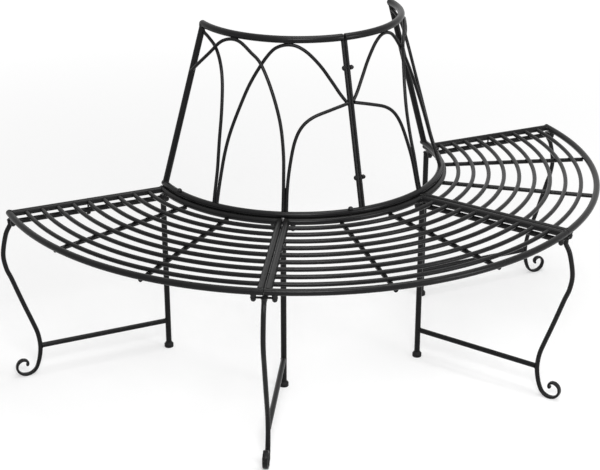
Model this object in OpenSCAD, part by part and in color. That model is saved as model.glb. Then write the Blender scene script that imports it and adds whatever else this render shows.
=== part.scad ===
/* [Seat] */
// Radius of the outer seat rail, to the middle of the bar
outer_r = 792; // [750:1:840]
// Radius of the inner seat rail, to the middle of the bar
inner_r = 390; // [360:1:420]
// Height of the seat's top above the ground
seat_h = 466; // [440:1:500]
// Diameter of the seat rails and of the end bars between them
rail_d = 16.5; // [14:0.5:18]
// Diameter of the slats
slat_d = 11; // [9:0.5:12]
// Number of slats in each seat section
slat_count = 9; // [7:1:10]
// Diameter of the cross bars under the slats
cross_bar_d = 11; // [9:0.5:13]
// Number of cross bars in each seat section
cross_bar_count = 2; // [1:1:3]
// Angle by which the cross bars sit off the middle of their section
cross_bar_shift = 1.5; // [0:0.5:4]
// Gap between the rails of two sections where they are bolted together
section_gap = 1.5; // [1:0.1:3]

/* [Leg frames] */
// Diameter of the straight inner legs
leg_d = 15; // [13:0.5:17]
// Diameter of the bar between the two legs of a frame, under the seat
top_bar_d = 13.5; // [11:0.5:15]
// Diameter of the stretcher low between the two legs
stretcher_d = 13.5; // [11:0.5:15]
// Height of the stretcher's middle above the ground
stretcher_h = 79; // [70:1:95]
// Diameter of the foot caps
foot_d = 24.5; // [21:0.5:28]
// Height of the foot caps
foot_h = 15; // [12:0.5:20]
// Thickness of the foot caps under the leg
foot_floor = 3; // [2:0.25:4]
// Wall of the foot caps round the leg, at their upper rim
foot_rim = 1; // [0.6:0.1:1.5]
// Height of the sloping shoulder of the foot caps
foot_shoulder = 5.5; // [3:0.5:8]
// Width of the bevel round the foot caps' underside
foot_bevel = 1.5; // [0.5:0.25:2]

/* [Scroll legs] */
// Diameter of the scroll leg's bar at its top
scroll_d = 12; // [10:0.5:14]
// Thickness of the hammered end of the bar
scroll_tip_t = 7; // [5:0.25:8]
// Width of the hammered end of the bar
scroll_tip_w = 14; // [12:0.5:16]
// Distance from the outer rail inwards to the middle of the curl
curl_in = 6; // [0:1:14]
// Radius of the curl where it starts, opposite the curl's open side
curl_start_r = 34; // [30:0.5:38]
// Radius of the curl at its tip
curl_end_r = 6; // [5:0.5:8]
// Angle that the curl turns through
curl_turn = 360; // [330:5:370]

/* [Plates and bolts] */
// Thickness of the cross plates that join frame and rails
plate_t = 2.5; // [2:0.25:4]
// Diameter of the cross plates' round pads, at the leg and at each bolt
pad_d = 14; // [13:0.5:17]
// Width of the cross plates between their pads
strap_w = 7; // [5:0.5:12]
// Distance from the frame's middle plane to each of its bolts
bolt_out = 24; // [21:0.5:28]
// Height of the threaded bosses between rail and plate
boss_h = 5; // [4:0.5:8]
// Diameter of the threaded bosses
boss_d = 12.5; // [11.5:0.5:14]
// Diameter of the bolts that hold the frames
bolt_d = 8; // [7:0.5:9]
// Diameter of the bolts' domed heads
head_d = 12.5; // [11.5:0.5:14]
// Height of the bolts' domed heads
head_h = 9; // [7:0.5:11]
// Diameter of the bolts through the end bar and the top bar at the free ends
end_bolt_d = 5; // [4:0.5:6]
// Diameter of these bolts' domed heads
end_head_d = 11; // [9:0.5:12]
// Height of these bolts' domed heads
end_head_h = 6; // [4:0.5:8]
// Depth of these bolts' ends below the top of the end bar
end_bolt_sunk = 2; // [1:0.5:4]

/* [Back] */
// Height of the back's top above the ground
back_h = 892; // [850:1:930]
// Radius of the back's top rail, to the middle of the bar
back_top_r = 266; // [240:1:290]
// Distance from the seat's inner rail inwards to the back's bottom rail, between the bars' middles
back_base_in = 8; // [0:0.5:10]
// Diameter of the back's top rail
top_rail_d = 18; // [15:0.5:20]
// Diameter of the back's bottom rail
base_rail_d = 16.5; // [14:0.5:18]
// Diameter of the posts at the back's free ends
end_post_d = 16.5; // [14:0.5:18]
// Diameter of the two posts side by side at the middle of the back
mid_post_d = 8; // [7:0.5:10]
// Diameter of the arched rods that fill the back
rod_d = 8; // [6.5:0.5:8.5]
// Gap between the two back panels where they are bolted together
panel_gap = 0.6; // [0.4:0.1:2]
// Depth of the upper bolt through the middle posts below the back's top rail
post_bolt_down = 72; // [60:1:90]
// Height of the lower bolt through the middle posts above the back's bottom rail
post_bolt_up = 78; // [65:1:95]
// Diameter of the bolts through the middle posts and the back's bottom rail
back_bolt_d = 5; // [4:0.5:5]
// Diameter of these bolts' heads
back_head_d = 12.5; // [11:0.5:13.5]
// Height of these bolts' heads
back_head_h = 5; // [3:0.5:6]
// Diameter of the domed heads of the bolts down through the back's bottom rail
rail_head_d = 13.5; // [12:0.5:14.5]
// Height of these domed heads
rail_head_h = 7; // [5:0.5:8]
// Height of the cap nuts on the middle posts' bolts
cap_nut_h = 10; // [8:0.5:12]
// Height of the cap nuts' six flats
nut_flats_h = 4.5; // [3:0.5:6]
// Wall at the closed end of the cap nuts
nut_end = 2.5; // [1.5:0.25:4]
// Angle from the back's free end to the first bolt in the bottom rail
rail_bolt_a = 14; // [12:0.5:18]
// Angle from the back's middle to the second bolt in the left panel's bottom rail
rail_bolt_b = 5; // [4:0.5:7]

/* [Fits] */
// Clearance where one piece seats on another
seat_gap = 0.3; // [0.2:0.05:0.4]
// Clearance round a bolt in its hole
bolt_gap = 0.3; // [0.2:0.05:0.5]
// Distance from a bolt's end to the bottom of its thread
thread_gap = 1; // [0.5:0.25:2]
// Clearance round a leg in its foot cap
foot_gap = 0.1; // [0.05:0.05:0.3]

/* [Hidden] */
$fn = 96;
paint = "#2b2b2d";
metal = "#3a3a3c";

// Angles are counted from +X, and the seat is the half ring on the -Y side
first_angle = 180;
section_angle = 60;
panel_angle = 90;
section_count = 3;
// How far a cutting shape runs past what it cuts, as an angle and as a length
over_angle = 5;
over = 1;
// The left section is the mirror image of the other two
cross_bar_side = [-1, 1, 1];

rail_z = seat_h - rail_d / 2;
end_bar_y = section_gap / 2 + rail_d / 2;
slat_pitch = (outer_r - inner_r) / (slat_count + 1);
cross_bar_z = rail_z - slat_d / 2 - cross_bar_d / 2 - seat_gap;

plate_top = rail_z - rail_d / 2 - boss_h;
plate_bottom = plate_top - plate_t;
top_bar_z = plate_bottom - top_bar_d / 2;
bolt_hole_d = bolt_d + 2 * bolt_gap;

back_base_r = inner_r - back_base_in;
base_rise = sqrt(pow((rail_d + base_rail_d) / 2 + seat_gap, 2) - pow(back_base_in, 2));
base_z = rail_z + base_rise;
top_z = back_h - top_rail_d / 2;
back_run = back_base_r - back_top_r;
back_lean = atan2(back_run, top_z - base_z);
back_len = norm([back_run, top_z - base_z]);

// Distances up the slope of the back, from the middle of its bottom rail
post_foot = base_rail_d / 2 + seat_gap;
rod_layer = (rod_d + seat_gap) / 2;
rod_apex = back_len - sqrt(pow((top_rail_d + rod_d) / 2 + seat_gap, 2) - pow(rod_layer, 2));

// Curve tools
function cat(a, b, c, d, t) = 0.5 * (2 * b + (c - a) * t + (2 * a - 5 * b + 4 * c - d) * t * t
    + (3 * b - a - 3 * c + d) * t * t * t);
function smooth_path(p, steps) = let(n = len(p) - 1) [
    for (i = [0 : n - 1], k = [0 : steps - 1])
        let(before = i == 0 ? 2 * p[0] - p[1] : p[i - 1])
        let(after = i == n - 1 ? 2 * p[n] - p[n - 1] : p[i + 2])
        cat(before, p[i], p[i + 1], after, k / steps),
    p[n]
];
function unit(v) = v / norm(v);
function heading(p, i) = unit(p[min(i + 1, len(p) - 1)] - p[max(i - 1, 0)]);
function ease(t) = let(u = max(0, min(1, t))) u * u * (3 - 2 * u);

// A bar along a path, with one ring of points for each point of the path
module swept(rings) {
    sides = len(rings[0]);
    last = len(rings) - 1;
    walls = [
        for (i = [0 : last - 1], k = [0 : sides - 1])
            let(a = i * sides + k, b = i * sides + (k + 1) % sides)
            each [[a, b, b + sides], [a, b + sides, a + sides]]
    ];
    ends = [[for (k = [sides - 1 : -1 : 0]) k], [for (k = [0 : sides - 1]) last * sides + k]];
    polyhedron(points = [for (ring = rings) each ring], faces = concat(walls, ends), convexity = 8);
}

// A round bar bent to part of a circle
module ring_bar(r, z, d, from, to) {
    translate([0, 0, z])
        rotate([0, 0, from])
            rotate_extrude(angle = to - from, $fn = 180)
                translate([r, 0])
                    circle(d = d, $fn = 48);
}

// A round bar along X
module bar_x(x0, x1, z, d) {
    translate([x0, 0, z])
        rotate([0, 90, 0])
            cylinder(d = d, h = x1 - x0);
}

function section_start(i) = first_angle + section_angle * (i - 1);
function gap_angle(r, gap) = asin(gap / 2 / r);

// Frames 1 and 4 stand under the end bars of the free ends, and 2 and 3 under the joints
function frame_angle(j) = first_angle + section_angle * (j - 1);
function frame_shift(j) = j == 1 ? end_bar_y : j == section_count + 1 ? -end_bar_y : 0;
module at_frame(j) {
    rotate([0, 0, frame_angle(j)])
        translate([0, frame_shift(j), 0])
            children();
}
function bolt_sides(j) = j == 1 ? [1] : j == section_count + 1 ? [-1] : [-1, 1];
function bolt_r(j, r) = sqrt(r * r - pow(bolt_out + abs(frame_shift(j)), 2));
module at_bolts(j) {
    for (side = bolt_sides(j), r = [outer_r, inner_r])
        at_frame(j)
            translate([bolt_r(j, r), side * bolt_out, 0])
                children();
}

// Seat sections

module rail_arc(i, r) {
    margin = gap_angle(r, section_gap);
    ring_bar(r, rail_z, rail_d, section_start(i) + margin, section_start(i) + section_angle - margin);
}

// The rings that a piece between or under the rails is cut to, so that it seats on them
module rail_seats() {
    for (r = [inner_r, outer_r])
        ring_bar(r, rail_z, rail_d + 2 * seat_gap, first_angle - over_angle,
            first_angle + section_count * section_angle + over_angle);
}

module end_bar_line(d) {
    translate([0, end_bar_y, 0])
        bar_x(inner_r, outer_r, rail_z, d);
}
module both_end_bars(i, d) {
    rotate([0, 0, section_start(i)])
        end_bar_line(d);
    rotate([0, 0, section_start(i) + section_angle])
        mirror([0, 1, 0])
            end_bar_line(d);
}

module outer_rail(i) {
    color(paint) rail_arc(i, outer_r);
}

module inner_rail(i) {
    color(paint) difference() {
        rail_arc(i, inner_r);
        back_rail_bolt_holes();
    }
}

module end_bars(i) {
    color(paint) difference() {
        both_end_bars(i, rail_d);
        rail_seats();
        end_bolt_holes();
    }
}

module cross_bars(i) {
    step = section_angle / (cross_bar_count + 1);
    color(paint) difference() {
        for (k = [1 : cross_bar_count])
            rotate([0, 0, section_start(i) + k * step + cross_bar_side[i - 1] * cross_bar_shift])
                bar_x(inner_r, outer_r - rail_d / 4, cross_bar_z, cross_bar_d);
        rail_seats();
    }
}

module slats(i) {
    end_y = end_bar_y + rail_d / 2 + seat_gap;
    color(paint) for (k = [1 : slat_count])
        let(r = inner_r + k * slat_pitch, margin = asin(end_y / r))
        ring_bar(r, rail_z, slat_d, section_start(i) + margin, section_start(i) + section_angle - margin);
}

// Scroll legs: the line of the leg from under the seat to the ground, as distances out from the
// outer rail and shares of the leg's height, then the curl as a spiral that closes in
leg_line = [[2, 1], [2, 0.985], [2.5, 0.97], [15, 0.915], [25.5, 0.8], [21, 0.71], [10, 0.64],
    [-6, 0.53], [-21, 0.43], [-35, 0.34], [-46, 0.26], [-50, 0.18], [-47, 0.115]];
curl_from = 190;
curl_steps = 12;
function curl_r(a) = curl_start_r - (curl_start_r - curl_end_r) * a / curl_turn;
curl_drop = max([for (a = [30 : 5 : 150]) -curl_r(a) * sin(curl_from + a)]);
curl_z = curl_drop + scroll_tip_t / 2;
scroll_line = concat(
    [for (p = leg_line) [outer_r + p.x, p.y * (plate_bottom - seat_gap)]],
    [for (k = [0 : curl_steps]) let(a = curl_turn * k / curl_steps)
        [outer_r - curl_in + curl_r(a) * cos(curl_from + a), curl_z + curl_r(a) * sin(curl_from + a)]]
);
scroll_path = smooth_path(scroll_line, 3);
scroll_sides = 12;

// Half thickness and half width of the bar, which is hammered flat where the curl begins, over a
// short stretch that is given as shares of the path
hammer_from = 0.45;
hammer_over = 0.14;
function hammered(i) = ease((i / (len(scroll_path) - 1) - hammer_from) / hammer_over);
function half_t(i) = scroll_d / 2 + (scroll_tip_t - scroll_d) / 2 * hammered(i);
function half_w(i) = scroll_d / 2 + (scroll_tip_w - scroll_d) / 2 * hammered(i);
scroll_rings = [
    for (i = [0 : len(scroll_path) - 1])
        let(p = scroll_path[i], t = heading(scroll_path, i))
        [for (k = [0 : scroll_sides - 1])
            let(a = 360 * k / scroll_sides, n = half_t(i) * cos(a), w = half_w(i) * sin(a))
            [p.x - t.y * n, w, p.y + t.x * n]]
];

module scroll_leg(j) {
    color(paint) at_frame(j) swept(scroll_rings);
}

module straight_leg(j) {
    color(paint) at_frame(j)
        translate([inner_r, 0, foot_floor])
            cylinder(d = leg_d, h = plate_bottom - foot_floor);
}

// The inner face of the scroll leg at a height, from its line above the curl
leg_heights = [for (i = [len(leg_line) * 3 - 3 : -1 : 0]) [scroll_path[i].y, scroll_path[i].x - half_t(i)]];
function leg_face(z) = lookup(z, leg_heights);

module frame_bar(z, d) {
    difference() {
        bar_x(inner_r, leg_face(z) - seat_gap, z, d);
        translate([inner_r, 0, 0])
            cylinder(d = leg_d + 2 * seat_gap, h = seat_h);
    }
}

module stretcher(j) {
    color(paint) at_frame(j) frame_bar(stretcher_h, stretcher_d);
}

module top_bar(j) {
    color(paint) difference() {
        at_frame(j) frame_bar(top_bar_z, top_bar_d);
        end_bolt_holes();
    }
}

// A strap from the leg to each bolt, with round pads
module plate_outline(j, r) {
    translate([r, 0])
        circle(d = pad_d);
    for (side = bolt_sides(j)) {
        translate([bolt_r(j, r), side * bolt_out])
            circle(d = pad_d);
        translate([r - strap_w / 2, min(0, side * bolt_out)])
            square([strap_w, bolt_out]);
    }
}

module cross_plates(j) {
    color(paint) difference() {
        at_frame(j)
            for (r = [outer_r, inner_r])
                translate([0, 0, plate_bottom])
                    linear_extrude(plate_t)
                        plate_outline(j, r);
        at_bolts(j)
            translate([0, 0, plate_bottom - over])
                cylinder(d = bolt_hole_d, h = plate_t + 2 * over);
    }
}

// A foot cap: a bevelled disc with a shoulder that slopes up to a rim round the leg
module foot_cap() {
    rim_d = leg_d + 2 * (foot_gap + foot_rim);
    difference() {
        union() {
            cylinder(d1 = foot_d - 2 * foot_bevel, d2 = foot_d, h = foot_bevel);
            translate([0, 0, foot_bevel])
                cylinder(d = foot_d, h = foot_h - foot_shoulder - foot_bevel);
            translate([0, 0, foot_h - foot_shoulder])
                cylinder(d1 = foot_d, d2 = rim_d, h = foot_shoulder);
        }
        translate([0, 0, foot_floor])
            cylinder(d = leg_d + 2 * foot_gap, h = foot_h);
    }
}

module foot_caps() {
    color("#1c1c1d") for (j = [1 : section_count + 1])
        at_frame(j)
            translate([inner_r, 0, 0])
                foot_cap();
}

module bosses() {
    color(metal) difference() {
        for (j = [1 : section_count + 1])
            at_bolts(j)
                translate([0, 0, plate_top])
                    cylinder(d = boss_d, h = boss_h + rail_d / 4);
        rail_seats();
        for (j = [1 : section_count + 1])
            at_bolts(j)
                translate([0, 0, plate_top - over])
                    cylinder(d = bolt_hole_d, h = boss_h + rail_d);
    }
}

// A domed head standing on z = 0, whose dome is at most most_dome of a half ball
most_dome = 0.9;
module dome(d, h) {
    rise = min(h * 2 / 3, d / 2 * most_dome);
    rim = h - rise;
    dome_r = (d * d / 4 + rise * rise) / (2 * rise);
    cylinder(d = d, h = rim);
    translate([0, 0, rim])
        intersection() {
            translate([0, 0, rise - dome_r])
                sphere(r = dome_r);
            cylinder(d = d, h = h);
        }
}

module leg_bolts() {
    color(metal) for (j = [1 : section_count + 1])
        at_bolts(j)
            translate([0, 0, plate_bottom]) {
                mirror([0, 0, 1])
                    dome(head_d, head_h);
                cylinder(d = bolt_d, h = plate_t + boss_h - thread_gap);
            }
}

// Bolts at the free ends, halfway along the end bar, through it and the top bar under it
mid_r = (inner_r + outer_r) / 2;
module at_end_bolts() {
    for (j = [1, section_count + 1])
        at_frame(j)
            translate([mid_r, 0, 0])
                children();
}
module end_bolt_holes() {
    at_end_bolts()
        translate([0, 0, end_bolt_low - over])
            cylinder(d = end_bolt_d + 2 * bolt_gap, h = seat_h - end_bolt_low + 2 * over);
}
end_bolt_top = seat_h - end_bolt_sunk;
end_bolt_low = top_bar_z - top_bar_d / 2;
module end_bolts() {
    color(metal) at_end_bolts()
        translate([0, 0, end_bolt_low]) {
            cylinder(d = end_bolt_d, h = end_bolt_top - end_bolt_low);
            mirror([0, 0, 1])
                dome(end_head_d, end_head_h);
        }
}

// The back is two panels on a cone. A panel is drawn from its free end at 0 degrees to the
// middle of the back, and panel 2 is the mirror image of panel 1
module at_panel(p) {
    if (p == 1)
        rotate([0, 0, first_angle]) children();
    else
        mirror([0, 1, 0])
            children();
}

// A point of the panel, by angle, distance up the slope and distance off the cone
function on_cone(u, s, off) =
    let(r = back_base_r - s * sin(back_lean) + off * cos(back_lean))
    let(z = base_z + s * cos(back_lean) + off * sin(back_lean))
    [r * cos(u), r * sin(u), z];

// A straight post up the slope, beside the panel's end plane
module post(angle, y, d, s0, s1) {
    rotate([0, 0, angle])
        translate([back_base_r, y, base_z])
            rotate([0, -back_lean, 0])
                translate([0, 0, s0])
                    cylinder(d = d, h = s1 - s0);
}

end_post_y = end_post_d / 2;
mid_post_y = (mid_post_d + panel_gap) / 2;

module back_top_rail(p) {
    color(paint) at_panel(p)
        ring_bar(back_top_r, top_z, top_rail_d, 0, panel_angle - gap_angle(back_top_r, panel_gap));
}

module back_base_rail(p) {
    color(paint) difference() {
        at_panel(p)
            ring_bar(back_base_r, base_z, base_rail_d, 0, panel_angle - gap_angle(back_base_r, panel_gap));
        back_rail_bolt_holes();
    }
}

// The two rails of the back, to cut a post or a rod to its seat
module back_rail_seats() {
    ring_bar(back_top_r, top_z, top_rail_d + 2 * seat_gap, -over_angle, panel_angle + over_angle);
    ring_bar(back_base_r, base_z, base_rail_d + 2 * seat_gap, -over_angle, panel_angle + over_angle);
}

module end_post(p) {
    color(paint) at_panel(p) difference() {
        post(0, end_post_y, end_post_d, 0, back_len);
        back_rail_seats();
    }
}

module mid_post(p) {
    color(paint) at_panel(p) difference() {
        post(panel_angle, -mid_post_y, mid_post_d, 0, back_len);
        back_rail_seats();
        post_bolt_holes();
    }
}

// Heights of the bolts through the middle posts, and the radius of the cone at a height
post_bolt_z = [base_z + post_bolt_up, top_z - post_bolt_down];
function cone_r(z) = back_base_r - (z - base_z) * tan(back_lean);
module post_bolt_holes() {
    for (z = post_bolt_z)
        translate([-3 * mid_post_d, cone_r(z), z])
            rotate([0, 90, 0])
                cylinder(d = back_bolt_d + 2 * bolt_gap, h = 6 * mid_post_d);
}

post_pair = 2 * mid_post_d + panel_gap;
module at_post_bolts() {
    for (z = post_bolt_z)
        translate([0, -cone_r(z), z])
            children();
}
module post_bolts() {
    color(metal) at_post_bolts() {
        translate([-post_pair / 2, 0, 0])
            rotate([0, -90, 0])
                dome(back_head_d, back_head_h);
        translate([-post_pair / 2, 0, 0])
            rotate([0, 90, 0])
                cylinder(d = back_bolt_d, h = post_pair + cap_nut_h - nut_end - thread_gap);
    }
}
// A nut with six flats and a closed dome, standing on z = 0
module cap_nut() {
    difference() {
        union() {
            cylinder(d = back_head_d, h = nut_flats_h, $fn = 6);
            translate([0, 0, nut_flats_h])
                dome(back_head_d * cos(30), cap_nut_h - nut_flats_h);
        }
        translate([0, 0, -over])
            cylinder(d = back_bolt_d + 2 * bolt_gap, h = cap_nut_h - nut_end + over);
    }
}
module cap_nuts() {
    color(metal) at_post_bolts()
        translate([post_pair / 2, 0, 0])
            rotate([0, 90, 0])
                cap_nut();
}

// Bolts down through the back's bottom rail into the seat's inner rail, two in the left panel
// and one in the right
rail_bolt_angles = [first_angle + rail_bolt_a, 270 - rail_bolt_b, 360 - rail_bolt_a];
rail_bolt_r = (back_base_r + inner_r) / 2;
rail_bolt_top = base_z + base_rail_d / 2;
module at_rail_bolts() {
    for (a = rail_bolt_angles)
        rotate([0, 0, a])
            translate([rail_bolt_r, 0, 0])
                children();
}
module back_rail_bolt_holes() {
    at_rail_bolts()
        translate([0, 0, rail_z - rail_d])
            cylinder(d = back_bolt_d + 2 * bolt_gap, h = 3 * rail_d);
}
module rail_bolts() {
    color(metal) at_rail_bolts()
        translate([0, 0, rail_bolt_top]) {
            dome(rail_head_d, rail_head_h);
            mirror([0, 0, 1])
                cylinder(d = back_bolt_d, h = rail_bolt_top - rail_z + rail_d / 2);
        }
}

// Arched rods: angle from the panel's free end, and share of the height from the bottom rail up
// to the underside of the top rail
function post_side(share) =
    let(r = back_base_r - (post_foot + share * (rod_apex - post_foot)) * sin(back_lean))
    panel_angle - asin((panel_gap / 2 + mid_post_d + seat_gap) / r);
rod_a_line = [[2.2, 0.73], [14.8, 0.88], [20.5, 0.955], [25, 0.988], [30, 1], [35, 0.988],
    [41, 0.94], [47, 0.877], [53, 0.73], [57.5, 0.545], [59.4, 0.36], [59.8, 0.18], [59.8, 0]];
rod_b_line = [[3.2, 0.985], [10, 0.965], [17, 0.925], [22.4, 0.845], [26, 0.73], [28.3, 0.56],
    [29.6, 0.375], [31, 0.18], [31.9, 0]];
rod_c_line = [[33.3, 0], [33, 0.18], [33.3, 0.31], [34.6, 0.44], [37.5, 0.59], [41.5, 0.745],
    [46.8, 0.875], [51.5, 0.955], [55.5, 0.988], [60.5, 1], [65.5, 0.988], [71, 0.945],
    [77, 0.865], [82, 0.77], [85.5, 0.695], [post_side(0.64), 0.64]];
rod_d_line = [[61.1, 0], [61.3, 0.14], [62.2, 0.28], [64, 0.42], [67, 0.51], [72, 0.567],
    [80, 0.605], [post_side(0.635), 0.635]];
rod_sides = 8;
rod_steps = 2;

function rod_points(line, layer) = [
    for (p = smooth_path(line, rod_steps))
        on_cone(p.x, post_foot + p.y * (rod_apex - post_foot), layer * ease(p.y / 0.25))
];
function rod_rings(points) = [
    for (i = [0 : len(points) - 1])
        let(t = heading(points, i))
        let(out = unit([points[i].x, points[i].y, norm([points[i].x, points[i].y]) * tan(back_lean)]))
        let(side = unit(cross(t, out)), normal = cross(side, t))
        [for (k = [0 : rod_sides - 1])
            let(a = 360 * (k + 0.5) / rod_sides)
            points[i] + rod_d / 2 * (cos(a) * normal + sin(a) * side)]
];
module rod(p, line, layer) {
    color(paint) at_panel(p) swept(rod_rings(rod_points(line, layer)));
}

outer_rail(1);  // left_outer_rail
inner_rail(1);  // left_inner_rail
end_bars(1);  // left_end_bars
cross_bars(1);  // left_cross_bars
slats(1);  // left_slats
outer_rail(2);  // middle_outer_rail
inner_rail(2);  // middle_inner_rail
end_bars(2);  // middle_end_bars
cross_bars(2);  // middle_cross_bars
slats(2);  // middle_slats
outer_rail(3);  // right_outer_rail
inner_rail(3);  // right_inner_rail
end_bars(3);  // right_end_bars
cross_bars(3);  // right_cross_bars
slats(3);  // right_slats
scroll_leg(1);  // scroll_leg_1
scroll_leg(2);  // scroll_leg_2
scroll_leg(3);  // scroll_leg_3
scroll_leg(4);  // scroll_leg_4
straight_leg(1);  // straight_leg_1
straight_leg(2);  // straight_leg_2
straight_leg(3);  // straight_leg_3
straight_leg(4);  // straight_leg_4
stretcher(1);  // stretcher_1
stretcher(2);  // stretcher_2
stretcher(3);  // stretcher_3
stretcher(4);  // stretcher_4
top_bar(1);  // top_bar_1
top_bar(2);  // top_bar_2
top_bar(3);  // top_bar_3
top_bar(4);  // top_bar_4
cross_plates(1);  // cross_plates_1
cross_plates(2);  // cross_plates_2
cross_plates(3);  // cross_plates_3
cross_plates(4);  // cross_plates_4
foot_caps();
bosses();
leg_bolts();
end_bolts();
end_post(1);  // left_back_end_post
mid_post(1);  // left_back_mid_post
back_top_rail(1);  // left_back_top_rail
back_base_rail(1);  // left_back_base_rail
rod(1, rod_a_line, rod_layer);  // left_back_rod_a
rod(1, rod_b_line, -rod_layer);  // left_back_rod_b
rod(1, rod_c_line, -rod_layer);  // left_back_rod_c
rod(1, rod_d_line, rod_layer);  // left_back_rod_d
end_post(2);  // right_back_end_post
mid_post(2);  // right_back_mid_post
back_top_rail(2);  // right_back_top_rail
back_base_rail(2);  // right_back_base_rail
rod(2, rod_a_line, rod_layer);  // right_back_rod_a
rod(2, rod_b_line, -rod_layer);  // right_back_rod_b
rod(2, rod_c_line, -rod_layer);  // right_back_rod_c
rod(2, rod_d_line, rod_layer);  // right_back_rod_d
post_bolts();
cap_nuts();
rail_bolts();
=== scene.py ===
"""A semicircular tree bench: its finishes, forged legs, arched rods, welds, bolts and feet.

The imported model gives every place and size. Lengths are in metres. The tree's axis is the Z axis,
the seat is the half ring on the -Y side of it, and angles are counted from +X.
"""

import math

import bmesh
import bpy
from bpy.props import FloatProperty, FloatVectorProperty, PointerProperty
from bpy.types import Operator, Panel, PropertyGroup
from mathutils import Matrix, Vector, noise


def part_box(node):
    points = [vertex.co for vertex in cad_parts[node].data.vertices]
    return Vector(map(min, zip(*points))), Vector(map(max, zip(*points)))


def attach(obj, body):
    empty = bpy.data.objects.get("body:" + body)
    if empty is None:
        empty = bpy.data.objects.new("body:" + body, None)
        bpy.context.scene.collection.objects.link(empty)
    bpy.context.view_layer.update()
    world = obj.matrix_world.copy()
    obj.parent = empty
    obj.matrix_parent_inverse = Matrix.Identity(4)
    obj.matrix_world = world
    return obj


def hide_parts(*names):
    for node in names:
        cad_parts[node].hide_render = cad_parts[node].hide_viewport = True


bl_info = {
    "name": "Semicircular tree bench",
    "version": (1, 0, 0),
    "blender": (4, 5, 0),
    "location": "View3D > Sidebar > Tree bench",
    "description": "Dresses the bench's frame with its finishes, forged legs, rods, welds, bolts and feet",
    "category": "Object",
}

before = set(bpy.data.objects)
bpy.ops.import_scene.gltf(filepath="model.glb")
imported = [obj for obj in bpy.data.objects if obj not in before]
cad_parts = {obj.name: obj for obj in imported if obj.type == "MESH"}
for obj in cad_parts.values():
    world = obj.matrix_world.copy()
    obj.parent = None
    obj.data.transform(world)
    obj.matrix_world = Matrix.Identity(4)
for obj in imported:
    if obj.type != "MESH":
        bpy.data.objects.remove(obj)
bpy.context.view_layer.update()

MM = 0.001
BODY = "root"
PAINT_SLOT = "frame_paint"
HARDWARE_SLOT = "hardware"
FOOT_SLOT = "foot_plastic"

# The seat's sections run from the left end of the half ring to the right end
SECTIONS = ("left", "middle", "right")
PANELS = ("left", "right")
FRAME_NUMBERS = (1, 2, 3, 4)
FIRST_ANGLE = 180
SECTION_ANGLE = 60
PANEL_ANGLE = 90

# Clearance that the frame leaves where one bar is welded to another
SEAT_GAP = 0.3 * MM
# Distances and turns below this count as none
NEGLIGIBLE = 1e-6
# Edges sharper than this stay sharp when a mesh is shaded smooth
SHARP_ANGLE = math.radians(38)

UP = Vector((0, 0, 1))
OUTWARD = Vector((1, 0, 0))
ALONG = Vector((0, 1, 0))
MIRRORED = Matrix.Scale(-1, 4, ALONG)


# Reading the frame


class Box:
    """A box by its lowest and highest corners."""

    def __init__(self, low, high):
        self.low = low
        self.high = high
        self.middle = (low + high) / 2
        self.half = (high - low) / 2


def box_of(node):
    """The box of a CAD node."""
    return Box(*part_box(node))


def box_round(points):
    """The box round some points."""
    low = Vector(min(point[axis] for point in points) for axis in range(3))
    high = Vector(max(point[axis] for point in points) for axis in range(3))
    return Box(low, high)


def solids_of(node):
    """The points of each separate solid of a CAD node."""
    mesh = bmesh.new()
    mesh.from_mesh(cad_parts[node].data)
    bmesh.ops.remove_doubles(mesh, verts=mesh.verts, dist=NEGLIGIBLE)
    mesh.verts.ensure_lookup_table()
    mesh.verts.index_update()
    seen = set()
    solids = []
    for vertex in mesh.verts:
        if vertex.index in seen:
            continue
        seen.add(vertex.index)
        solid = [vertex]
        for reached in solid:
            for edge in reached.link_edges:
                other = edge.other_vert(reached)
                if other.index not in seen:
                    seen.add(other.index)
                    solid.append(other)
        solids.append([member.co.copy() for member in solid])
    mesh.free()
    return solids


def boxes_of(node):
    """The box of each separate solid of a CAD node."""
    return [box_round(points) for points in solids_of(node)]


class Ring:
    """A round bar bent to part of a circle about the tree's axis."""

    def __init__(self, points):
        reaches = [point.xy.length for point in points]
        box = box_round(points)
        self.radius = (min(reaches) + max(reaches)) / 2
        self.z = box.middle.z
        self.bar = box.half.z

    def at(self, y):
        """The point of the ring's middle line at a y, on the side where x is positive."""
        return Vector((math.sqrt(self.radius**2 - y**2), y, self.z))

    def run(self, spot):
        """The direction of the bar at a point of the ring."""
        return Vector((-spot.y, spot.x, 0)).normalized()


def ring_of(node):
    """The ring that a CAD node's bar is bent to."""
    return Ring([vertex.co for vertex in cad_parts[node].data.vertices])


# Places


def turned(degrees):
    """A rotation about the tree's axis."""
    return Matrix.Rotation(math.radians(degrees), 4, "Z")


def facing(direction):
    """A rotation that takes the Z axis to a direction."""
    return UP.rotation_difference(direction).to_matrix().to_4x4()


def frame_axes(number):
    """The place of a leg frame, with X outwards from the tree and the frame in the XZ plane."""
    turn = turned(FIRST_ANGLE + SECTION_ANGLE * (number - 1))
    leg = turn.inverted() @ box_of(f"straight_leg_{number}").middle
    return turn @ Matrix.Translation((0, leg.y, 0))


def section_ends(index):
    """The places of a seat section's two ends, each with Y into the section."""
    start = FIRST_ANGLE + SECTION_ANGLE * index
    return turned(start), turned(start + SECTION_ANGLE) @ MIRRORED


def panel_axes(panel):
    """The place of a back panel, which is drawn from its free end on +X towards +Y."""
    return turned(FIRST_ANGLE) if panel == "left" else MIRRORED


# Curves


def ease(t):
    """A smooth step from 0 to 1."""
    t = max(0, min(1, t))
    return t * t * (3 - 2 * t)


def curve_point(before, start, end, after, t):
    """A point between start and end on the curve that runs through all four."""
    return 0.5 * (
        2 * start
        + (end - before) * t
        + (2 * before - 5 * start + 4 * end - after) * t**2
        + (3 * start - before - 3 * end + after) * t**3
    )


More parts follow.
